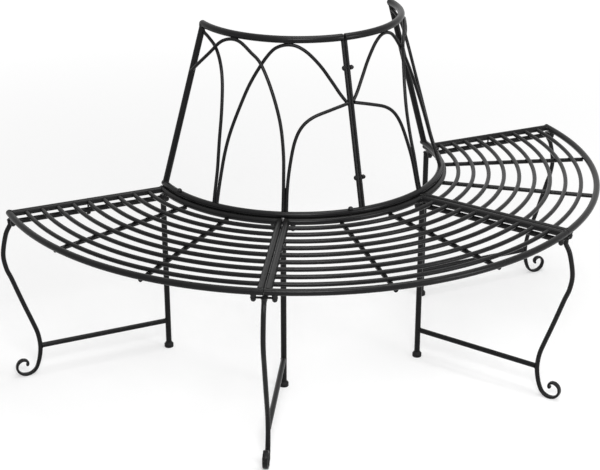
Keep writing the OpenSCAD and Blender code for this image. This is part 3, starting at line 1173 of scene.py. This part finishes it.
class TREE_BENCH_OT_foot_caps(Operator):
    """Mould the caps under the straight legs"""

    bl_idname = "tree_bench.foot_caps"
    bl_label = "Foot caps"

    def execute(self, context):
        leg = box_of("straight_leg_1")
        shape = Shape()
        for box in boxes_of("foot_caps"):
            profile = foot_profile(box.half.x, box.high.z, leg.half.x, leg.low.z)
            place = Matrix.Translation((box.middle.x, box.middle.y, 0))
            shape.lathe(profile, place, FOOT_SIDES)
        shape.piece("moulded_foot_caps", "moulded_plastic", FOOT_SLOT, ["foot_caps"])
        return {"FINISHED"}


# Welds


SADDLE_STEPS = 48
BEAD_SIDES = 6
# Rings of points in each ripple of a bead
RIPPLE_RINGS = 4
# How uneven a bead's radius is, as a share, and how many ripples an uneven stretch is long
BEAD_LUMPS = 0.1
LUMP_RIPPLES = 2
# Radius of an open bead at its ends, as a share
BEAD_ENDS = 0.3
# Steps in each half of a short bead
SHORT_BEAD_STEPS = 4
TACK_SIDES = 14
# Angles of the rings on a tack's round profile
TACK_TURNS = range(-80, 81, 20)

# The beads where a slat crosses a cross bar: how far each runs either way, as a share of the
# cross bar's radius, how far it lies from the slat's middle, as a share of the slat's radius,
# how far above the cross bar, as a share of a bead round the slat, and its size as such a share
CROSSING_RUN = 0.7
CROSSING_ASIDE = 0.74
CROSSING_LIFT = 0.45
CROSSING_SIZE = 0.85
# The beads where an arch touches the top rail: how far each runs either way, and how far it lies
# from the line of touch, as a share of the rod's radius
APEX_RUN = 12 * MM
APEX_ASIDE = 0.55
# Radius and height of the tack where two rods cross, as shares of the rod's radius
TACK_WIDTH = 0.8
TACK_HEIGHT = 0.5
# How far before its end a rod is followed from to find what it meets, in radii of the rod
FOLLOWED = 4
# Widest gap between two rods that is filled at their feet, which is the filling bead's radius too,
# and the steps in which it is laid
FOOT_WELD_GAP = 1.6 * MM
FOOT_WELD_STEPS = 40


def sides_of(direction, hint):
    """Two directions square to a direction, the first as close as can be to a hint."""
    first = (hint - direction * hint.dot(direction)).normalized()
    return first, direction.cross(first)


def saddle(start, direction, radius, spot, run, bar):
    """Where a round bar meets another round bar, as pairs of a point and its outward direction.

    The first bar is followed from start. The other has its axis through spot along run. Points
    where the first bar passes beside the other are None.
    """
    travel = direction - run * run.dot(direction)
    pairs = []
    for out in spokes(*sides_of(direction, run), SADDLE_STEPS):
        here = start + out * radius
        away = here - spot
        away -= run * run.dot(away)
        half = away.dot(travel)
        inside = half**2 - travel.length_squared * (away.length_squared - bar**2)
        if inside < 0:
            pairs.append(None)
        else:
            pairs.append((here + direction * (-half - math.sqrt(inside)) / travel.length_squared, out))
    return pairs


def ring_path(middle, axis, radius):
    """A circle of pairs round an axis, for a bar that ends on a flat face."""
    hint = Vector((axis.z, axis.x, axis.y))
    return [(middle + out * radius, out) for out in spokes(*sides_of(axis, hint), SADDLE_STEPS)]


def open_runs(pairs):
    """Splits a circle of pairs at its gaps into runs that are long enough to weld."""
    gap = pairs.index(None)
    runs = [[]]
    for pair in pairs[gap:] + pairs[:gap]:
        if pair is None:
            runs.append([])
        else:
            runs[-1].append(pair)
    return [run for run in runs if len(run) > RIPPLE_RINGS]


def spaced(pairs, count, closed):
    """Pairs at even distances along a path."""
    path = pairs + pairs[:1] if closed else pairs
    lengths = [0.0]
    for (here, _), (there, _) in zip(path, path[1:]):
        lengths.append(lengths[-1] + (there - here).length)
    found = []
    span = 0
    for k in range(count):
        wanted = lengths[-1] * k / (count if closed else count - 1)
        while span < len(path) - 2 and lengths[span + 1] < wanted:
            span += 1
        share = (wanted - lengths[span]) / max(lengths[span + 1] - lengths[span], NEGLIGIBLE)
        here, there = path[span], path[span + 1]
        found.append((here[0].lerp(there[0], share), here[1].lerp(there[1], share).normalized()))
    return found


class Welder:
    """Lays rippled weld beads into one mesh. Each is given, and made, in the welder's place."""

    def __init__(self, welds, place=None):
        self.welds = welds
        self.place = Matrix.Identity(4) if place is None else place
        self.shape = Shape()

    def size(self, radius):
        """The radius of a bead round a bar."""
        return min(self.welds.most, max(self.welds.least, radius * self.welds.share))

    def bead(self, pairs, size, closed=False):
        """Lays one bead along a path. An open bead tapers off at both ends."""
        points = [point for point, _ in pairs]
        ends = points[1:] + points[:1] if closed else points[1:]
        length = sum((there - here).length for here, there in zip(points, ends))
        ripples = max(2, round(length / self.welds.ripple))
        path = spaced(pairs, ripples * RIPPLE_RINGS + (0 if closed else 1), closed)
        count = len(path)
        rings = []
        for i, (middle, out) in enumerate(path):
            before = path[i - 1 if closed else max(i - 1, 0)][0]
            after = path[(i + 1) % count if closed else min(i + 1, count - 1)][0]
            along = (after - before).normalized()
            wave = abs(math.sin(math.pi * i / RIPPLE_RINGS))
            lump = noise.noise(middle / (LUMP_RIPPLES * self.welds.ripple))
            radius = size * (1 - self.welds.ripple_depth * (1 - wave) + BEAD_LUMPS * lump)
            if not closed:
                full = math.sqrt(math.sin(math.pi * (i + 0.5) / count))
                radius *= BEAD_ENDS + (1 - BEAD_ENDS) * full
            ring = [middle + spoke * radius for spoke in spokes(*sides_of(along, out), BEAD_SIDES)]
            rings.append([self.place @ point for point in ring])
        self.shape.tube(rings, closed)

    def round_bead(self, pairs, radius):
        """Lays beads round the end of a bar, wherever it meets what it is welded to."""
        if None not in pairs:
            self.bead(pairs, self.size(radius), closed=True)
        elif any(pairs):
            for run in open_runs(pairs):
                self.bead(run, self.size(radius))

    def end_on(self, start, direction, radius, spot, run, bar):
        """Welds the end of a round bar to the side of another, which runs through a spot."""
        pairs = saddle(start, direction.normalized(), radius, spot, run.normalized(), bar)
        self.round_bead(pairs, radius)

    def beside(self, size, pair_at):
        """Lays a short bead on each side of the line along which two bars touch.

        pair_at gives a pair by its place along the bead, from -1 to 1, and its side, -1 or 1.
        """
        places = [step / SHORT_BEAD_STEPS - 1 for step in range(2 * SHORT_BEAD_STEPS + 1)]
        for side in (-1, 1):
            self.bead([pair_at(place, side) for place in places], size)

    def tack(self, place, radius, height):
        """A small round weld between two bars that cross."""
        turns = [math.radians(degrees) for degrees in TACK_TURNS]
        profile = [(radius * math.cos(turn), height * math.sin(turn)) for turn in turns]
        self.shape.lathe(profile, self.place @ place, TACK_SIDES)

    def piece(self, name):
        """Makes the object."""
        self.shape.piece(name, "weld_coat", PAINT_SLOT)


class SeatWelder(Welder):
    """Welds one section of the seat."""

    def __init__(self, welds, section):
        super().__init__(welds)
        inner, outer = ring_of(f"{section}_inner_rail"), ring_of(f"{section}_outer_rail")
        self.rails = {-1: inner, 1: outer}
        self.between = (inner.radius + outer.radius) / 2
        self.end_bar = outer.bar
        self.slats = [Ring(points) for points in solids_of(f"{section}_slats")]

    def weld_end(self):
        """Beads round the ends of an end bar, and round the slats' ends that meet it."""
        # How far the end bar's middle line lies into the section
        y = self.end_bar - box_of("left_end_bars").high.y
        for side, rail in self.rails.items():
            spot = rail.at(y)
            start = Vector((self.between, y, rail.z))
            self.end_on(start, OUTWARD * side, rail.bar, spot, rail.run(spot), rail.bar)
        for slat in self.slats:
            start = slat.at(y + 2 * self.end_bar)
            self.end_on(start, -slat.run(start), slat.bar, slat.at(y), OUTWARD, self.end_bar)

    def weld_cross_bar(self, cross):
        """Beads round the ends of a cross bar, and in the crevices between it and the slats."""
        for side, rail in self.rails.items():
            start = Vector((self.between, 0, cross.middle.z))
            self.end_on(start, OUTWARD * side, cross.half.z, rail.at(0), ALONG, rail.bar)
        for slat in self.slats:
            self.weld_crossing(slat, cross.middle.z, cross.half.z)

    def weld_crossing(self, slat, z, bar):
        """Two short beads in the crevices between a slat and the cross bar under it."""
        size = self.size(slat.bar)

        def pair_at(place, side):
            y = CROSSING_RUN * bar * place
            top = z + math.sqrt(bar**2 - y**2) + CROSSING_LIFT * size
            return Vector((slat.radius + side * CROSSING_ASIDE * slat.bar, y, top)), OUTWARD * side

        self.beside(size * CROSSING_SIZE, pair_at)


class TREE_BENCH_OT_seat_welds(Operator):
    """Weld each seat section: end bars and cross bars to the rails, slats to all the bars"""

    bl_idname = "tree_bench.seat_welds"
    bl_label = "Seat welds"

    def execute(self, context):
        for index, section in enumerate(SECTIONS):
            welder = SeatWelder(context.scene.tree_bench.welds, section)
            for axes in section_ends(index):
                welder.place = axes
                welder.weld_end()
            for cross in boxes_of(f"{section}_cross_bars"):
                welder.place = turned(math.degrees(math.atan2(cross.middle.y, cross.middle.x)))
                welder.weld_cross_bar(cross)
            welder.piece(f"{section}_seat_welds")
        return {"FINISHED"}


class TREE_BENCH_OT_frame_welds(Operator):
    """Weld the leg frames, and the threaded bosses to the rails"""

    bl_idname = "tree_bench.frame_welds"
    bl_label = "Frame welds"

    def execute(self, context):
        settings = context.scene.tree_bench
        leg = ScrollLeg(settings.forge)
        rails = ring_of("middle_inner_rail"), ring_of("middle_outer_rail")
        inner, outer = (rail.radius for rail in rails)
        straight = box_of("straight_leg_1").half.x
        plate = box_of("cross_plates_1").low.z
        for number in FRAME_NUMBERS:
            welder = Welder(settings.welds, frame_axes(number))
            welder.round_bead(ring_path(Vector((inner, 0, plate)), UP, straight), straight)
            welder.round_bead(ring_path(Vector((leg.line[0].x, 0, plate)), UP, leg.bar), leg.bar)
            for bar in (box_of("top_bar_1"), box_of("stretcher_1")):
                radius = bar.half.z
                start = Vector(((inner + outer) / 2, 0, bar.middle.z))
                spot = Vector((inner, 0, bar.middle.z))
                welder.end_on(start, -OUTWARD, radius, spot, UP, straight)
                welder.round_bead(leg.seat_of(ring_path(start, OUTWARD, radius)), radius)
            welder.piece(f"frame_{number}_welds")
        self.boss_welds(settings.welds, rails)
        return {"FINISHED"}

    def boss_welds(self, welds, rails):
        """Beads round the bosses, where they stand on the undersides of the rails."""
        welder = Welder(welds)
        for boss in boxes_of("bosses"):
            across = Vector((boss.middle.x, boss.middle.y, 0))
            rail = min(rails, key=lambda ring: abs(ring.radius - across.length))
            spot = across.normalized() * rail.radius + UP * rail.z
            welder.end_on(across + UP * boss.low.z, UP, boss.half.x, spot, rail.run(spot), rail.bar)
        welder.piece("boss_welds")


def crossings(first, second):
    """Where two lines of angle and share of height cross."""
    found = []
    for a, b in zip(first, first[1:]):
        for c, d in zip(second, second[1:]):
            one, two, gap = b - a, d - c, c - a
            turn = one.cross(two)
            if abs(turn) < NEGLIGIBLE:
                continue
            along_one, along_two = gap.cross(two) / turn, gap.cross(one) / turn
            if 0 <= along_one < 1 and 0 <= along_two < 1:
                found.append(a + one * along_one)
    return found


def angle_at(plan, share):
    """The angle of a rod at a share of its height, counted up from its foot on the bottom rail."""
    rising = plan if plan[0].y == 0 else plan[::-1]
    i = next(i for i in range(len(rising)) if rising[i + 1].y > share)
    start, end = rising[i], rising[i + 1]
    return start.x + (end.x - start.x) * (share - start.y) / (end.y - start.y)


class BackWelder(Welder):
    """Welds one panel of the back."""

    def __init__(self, welds, place):
        super().__init__(welds, place)
        self.cone = BackCone()
        self.maps = {name: self.cone.rod_map(name) for name in ROD_LINES}

    def weld_posts(self):
        """Beads at both ends of the end post and of the middle post."""
        cone = self.cone
        panel = self.place
        for post in cone.posts:
            self.place = panel @ turned(post.degrees)
            middle = Vector((cone.base.radius, 0, cone.base.z)) + cone.up * cone.slope / 2 + post.aside
            for side, ring in ((-1, cone.base), (1, cone.top)):
                spot = Vector((ring.radius, 0, ring.z)) + post.aside
                self.end_on(middle, cone.up * side, post.radius, spot, ALONG, ring.bar)
        self.place = panel

    def weld_rod(self, name):
        """Beads at both ends of a rod, and under the top rail where the rod's arch touches it."""
        cone = self.cone
        line = cone.rod_line(name)
        for end, inner in ((0, ROD_STEPS), (-1, -1 - ROD_STEPS)):
            degrees, share = self.maps[name][end]
            if share == 0:
                spot = cone.point(degrees, 0)
                run, bar = cone.base.run(spot), cone.base.bar
            else:
                post = min(cone.posts, key=lambda post: abs(post.degrees - degrees))
                turn = turned(post.degrees)
                spot = turn @ (cone.point(0, cone.height(share)) + post.aside)
                run, bar = turn @ cone.up, post.radius
            direction = (line[end] - line[inner]).normalized()
            start = line[end] - direction * FOLLOWED * cone.rod
            self.end_on(start, direction, cone.rod, spot, run, bar)
        for degrees, share in self.maps[name]:
            if share == 1:
                self.weld_apex(degrees, ROD_LAYERS[name])

    def weld_apex(self, degrees, layer):
        """Two beads along the line where a rod's arch touches the top rail from below."""
        cone = self.cone
        reach = math.degrees(APEX_RUN / cone.top.radius)

        def pair_at(place, side):
            angle = degrees + reach * place
            rail = cone.point(angle, cone.slope)
            toward = (cone.point(angle, cone.apex, layer * cone.layer) - rail).normalized()
            across = toward.cross(cone.top.run(rail)) * side
            return rail + toward * cone.top.bar + across * APEX_ASIDE * cone.rod, across

        self.beside(self.size(cone.rod), pair_at)

    def weld_feet(self, names):
        """A bead between two rods that stand side by side, up to where they part."""
        cone = self.cone
        pairs = []
        for step in range(FOOT_WELD_STEPS):
            share = step / FOOT_WELD_STEPS * LAYER_RISE
            height, off = cone.height(share), cone.off(names[0], share)
            here, there = (cone.point(angle_at(self.maps[name], share), height, off) for name in names)
            if (here - there).length > 2 * cone.rod + FOOT_WELD_GAP:
                break
            middle = (here + there) / 2
            pairs.append((middle, Vector((middle.x, middle.y, 0)).normalized()))
        self.bead(pairs, FOOT_WELD_GAP)

    def weld_crossings(self):
        """A tack between the two layers wherever two rods cross."""
        cone = self.cone
        outer = [self.maps[name] for name, layer in ROD_LAYERS.items() if layer > 0]
        inner = [self.maps[name] for name, layer in ROD_LAYERS.items() if layer < 0]
        for first in outer:
            for second in inner:
                for degrees, share in crossings(first, second):
                    spot = cone.point(degrees, cone.height(share))
                    place = Matrix.Translation(spot) @ facing(turned(degrees).to_3x3() @ cone.out)
                    self.tack(place, TACK_WIDTH * cone.rod, TACK_HEIGHT * cone.rod)


class TREE_BENCH_OT_back_welds(Operator):
    """Weld the back panels: posts and rods to the rails, and the rods where they cross"""

    bl_idname = "tree_bench.back_welds"
    bl_label = "Back welds"

    def execute(self, context):
        for panel in PANELS:
            welder = BackWelder(context.scene.tree_bench.welds, panel_axes(panel))
            welder.weld_posts()
            for name in ROD_LINES:
                welder.weld_rod(name)
            welder.weld_crossings()
            for names in ("ad", "bc"):
                welder.weld_feet(names)
            welder.piece(f"{panel}_back_welds")
        return {"FINISHED"}


# Stage


# The camera stands where the photograph was taken from, and its lens gives the photograph's frame
CAMERA_PLACE = (-1.5206, -3.334, 1.8262)
CAMERA_PITCH = 66.8
CAMERA_HEADING = -24.59
CAMERA_LENS = 86.81
CAMERA_SENSOR = 36.0

# Each lamp's place, what it is aimed at, its size and its share of the light
LAMPS = {
    "key_lamp": ((-1.0, -2.6, 2.3), (0, -0.4, 0.4), 1.2, 0.45),
    "top_lamp": ((0.3, -0.4, 3.0), (0, -0.4, 0.4), 1.8, 0.33),
    "side_lamp": ((1.5, -2.8, 1.1), (0, -0.3, 0.5), 1.0, 0.22),
}
FLOOR_RADIUS = 14.0
FLOOR_SIDES = 64
FLOOR_ROUGHNESS = 0.9
# The floor's own white, as it is seen, near the bench, where the shadow falls, and farther out,
# where the lamps don't reach. With the lamps' light it adds up to white and little more.
GLOW_NEAR = 0.4
GLOW_FAR = 0.85
# How far from the tree's axis the floor starts to change to its far white, and over what distance
FADE_FROM = 0.9
FADE_OVER = 3.2
WHITE = (1, 1, 1, 1)
BLACK = (0, 0, 0, 1)


class TREE_BENCH_OT_stage(Operator):
    """Set the camera, the soft lamps, the sky and the pale floor"""

    bl_idname = "tree_bench.stage"
    bl_label = "Stage"

    def execute(self, context):
        stage = context.scene.tree_bench.stage
        self.camera(context.scene)
        for name, (place, target, size, share) in LAMPS.items():
            light = bpy.data.lights.new(name, "AREA")
            light.shape = "DISK"
            light.size = size
            light.energy = stage.lamps * share
            lamp = bpy.data.objects.new(name, light)
            lamp.location = place
            lamp.rotation_euler = (Vector(target) - Vector(place)).to_track_quat("-Z", "Y").to_euler()
            context.scene.collection.objects.link(lamp)
        self.sky(context.scene, stage.fill)
        self.floor(context.scene, stage.floor)
        context.scene.view_settings.view_transform = "Standard"
        return {"FINISHED"}

    def camera(self, scene):
        """The camera at the photograph's place and angle."""
        lens = bpy.data.cameras.new("photo_camera")
        lens.lens = CAMERA_LENS
        lens.sensor_width = CAMERA_SENSOR
        camera = bpy.data.objects.new("photo_camera", lens)
        camera.location = CAMERA_PLACE
        camera.rotation_euler = (math.radians(CAMERA_PITCH), 0, math.radians(CAMERA_HEADING))
        scene.collection.objects.link(camera)
        scene.camera = camera

    def sky(self, scene, fill):
        """White where it is seen, and a soft even light on the bench."""
        world = bpy.data.worlds.new("studio")
        world.use_nodes = True
        scene.world = world
        recipe = Recipe(world.node_tree)
        strength = fill + recipe.seen() * (1 - fill)
        sky = recipe.node("ShaderNodeBackground", None, {"Color": WHITE, "Strength": strength})
        recipe.node("ShaderNodeOutputWorld", None, {"Surface": sky}, None)

    def floor(self, scene, pale):
        """A pale floor that keeps the bench's shadow."""
        mesh = bpy.data.meshes.new("floor")
        disc = bmesh.new()
        bmesh.ops.create_circle(disc, cap_ends=True, segments=FLOOR_SIDES, radius=FLOOR_RADIUS)
        disc.to_mesh(mesh)
        disc.free()
        material = bpy.data.materials.new("pale_floor")
        material.use_nodes = True
        recipe = Recipe(material.node_tree)
        place = recipe.node("ShaderNodeTexCoord", output="Object")
        away = recipe.node("ShaderNodeVectorMath", {"operation": "LENGTH"}, {0: place}, "Value")
        fade = ((away - FADE_FROM) * (1 / FADE_OVER)).within(0, 1)
        share = GLOW_NEAR + fade * (GLOW_FAR - GLOW_NEAR)
        inputs = {
            "Base Color": (pale, pale, pale, 1),
            "Roughness": FLOOR_ROUGHNESS,
            "Specular IOR Level": 0.0,
            "Emission Color": recipe.blend(recipe.seen() * share, BLACK, WHITE),
            "Emission Strength": 1.0,
        }
        surface = recipe.node("ShaderNodeBsdfPrincipled", None, inputs)
        recipe.node("ShaderNodeOutputMaterial", None, {"Surface": surface}, None)
        mesh.materials.append(material)
        floor = bpy.data.objects.new("floor", mesh)
        scene.collection.objects.link(floor)


# Panel and registration


MAKERS = (
    TREE_BENCH_OT_bars,
    TREE_BENCH_OT_seams,
    TREE_BENCH_OT_scroll_legs,
    TREE_BENCH_OT_arches,
    TREE_BENCH_OT_top_rails,
    TREE_BENCH_OT_bolts,
    TREE_BENCH_OT_foot_caps,
    TREE_BENCH_OT_seat_welds,
    TREE_BENCH_OT_frame_welds,
    TREE_BENCH_OT_back_welds,
    TREE_BENCH_OT_stage,
)


class VIEW3D_PT_tree_bench(Panel):
    """The bench's settings and the buttons that make its pieces"""

    bl_label = "Tree bench"
    bl_space_type = "VIEW_3D"
    bl_region_type = "UI"
    bl_category = "Tree bench"

    def draw(self, context):
        settings = context.scene.tree_bench
        for group_name in BenchSettings.__annotations__:
            group = getattr(settings, group_name)
            box = self.layout.box()
            box.label(text=BenchSettings.bl_rna.properties[group_name].name)
            for name in type(group).__annotations__:
                box.prop(group, name)
        for maker in MAKERS:
            self.layout.operator(maker.bl_idname)


CLASSES = (
    LookSettings,
    ForgeSettings,
    WeldSettings,
    BoltSettings,
    StageSettings,
    BenchSettings,
    *MAKERS,
    VIEW3D_PT_tree_bench,
)


def register():
    """Adds the settings, the operators and the panel."""
    for item in CLASSES:
        bpy.utils.register_class(item)
    bpy.types.Scene.tree_bench = PointerProperty(type=BenchSettings)


def unregister():
    """Takes them away again."""
    del bpy.types.Scene.tree_bench
    for item in reversed(CLASSES):
        bpy.utils.unregister_class(item)


def main():
    """Makes the whole bench."""
    register()
    bpy.ops.tree_bench.bars()
    bpy.ops.tree_bench.seams()
    bpy.ops.tree_bench.scroll_legs()
    bpy.ops.tree_bench.arches()
    bpy.ops.tree_bench.top_rails()
    bpy.ops.tree_bench.bolts()
    bpy.ops.tree_bench.foot_caps()
    bpy.ops.tree_bench.seat_welds()
    bpy.ops.tree_bench.frame_welds()
    bpy.ops.tree_bench.back_welds()
    bpy.ops.tree_bench.stage()


if __name__ == "__main__":
    main()
